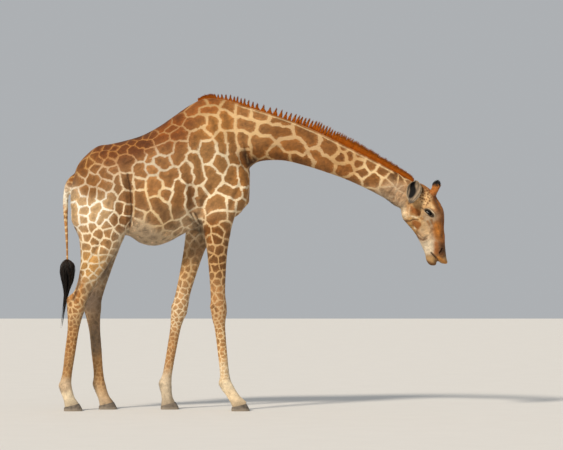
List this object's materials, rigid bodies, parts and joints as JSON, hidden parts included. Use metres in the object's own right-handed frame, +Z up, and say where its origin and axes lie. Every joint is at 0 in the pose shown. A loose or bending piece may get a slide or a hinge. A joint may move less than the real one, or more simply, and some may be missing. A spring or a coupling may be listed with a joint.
{
  "type": "giraffe",
  "caption": "Life-size standing giraffe with its long neck stretched forward and its head hanging down, as if browsing, on legs set apart.",
  "frame": {"origin": "on the ground, under the middle of the box round the whole animal", "axes": "+X the way the animal faces, +Y its left, +Z up"},
  "size_m": [3.3292, 0.6594, 2.722],
  "materials": {
    "coat": "short flat hair, brown patches on a cream ground",
    "face": "short flat hair, rust brow and nose, cream jaw",
    "shank": "very short hair, tan with faint freckles, cream at the pasterns",
    "mane": "stiff upright rust-brown hair",
    "tail_hair": "long black hair",
    "ear": "short hair, pale rim, grey inside",
    "ossicone": "short hair, black at the tip",
    "eye": "wet, very dark brown",
    "hoof": "worn grey-brown horn"
  },
  "bodies": {
    "root": {"trunk": "coat", "neck_lower": "coat", "neck_upper": "coat", "head": "face", "tail": "coat", "foreleg_right_forearm": "coat", "foreleg_right_cannon": "shank", "foreleg_right_pastern": "shank", "foreleg_left_forearm": "coat", "foreleg_left_cannon": "shank", "foreleg_left_pastern": "shank", "hindleg_right_gaskin": "coat", "hindleg_right_cannon": "shank", "hindleg_right_pastern": "shank", "hindleg_left_gaskin": "coat", "hindleg_left_cannon": "shank", "hindleg_left_pastern": "shank", "mane": "mane", "tail_tuft": "tail_hair", "ear_right": "ear", "ossicone_right": "ossicone", "eye_right": "eye", "ear_left": "ear", "ossicone_left": "ossicone", "eye_left": "eye", "claw_foreleg_right_outer": "hoof", "claw_foreleg_right_inner": "hoof", "claw_foreleg_left_outer": "hoof", "claw_foreleg_left_inner": "hoof", "claw_hindleg_right_outer": "hoof", "claw_hindleg_right_inner": "hoof", "claw_hindleg_left_outer": "hoof", "claw_hindleg_left_inner": "hoof"}
  },
  "joints": []
}
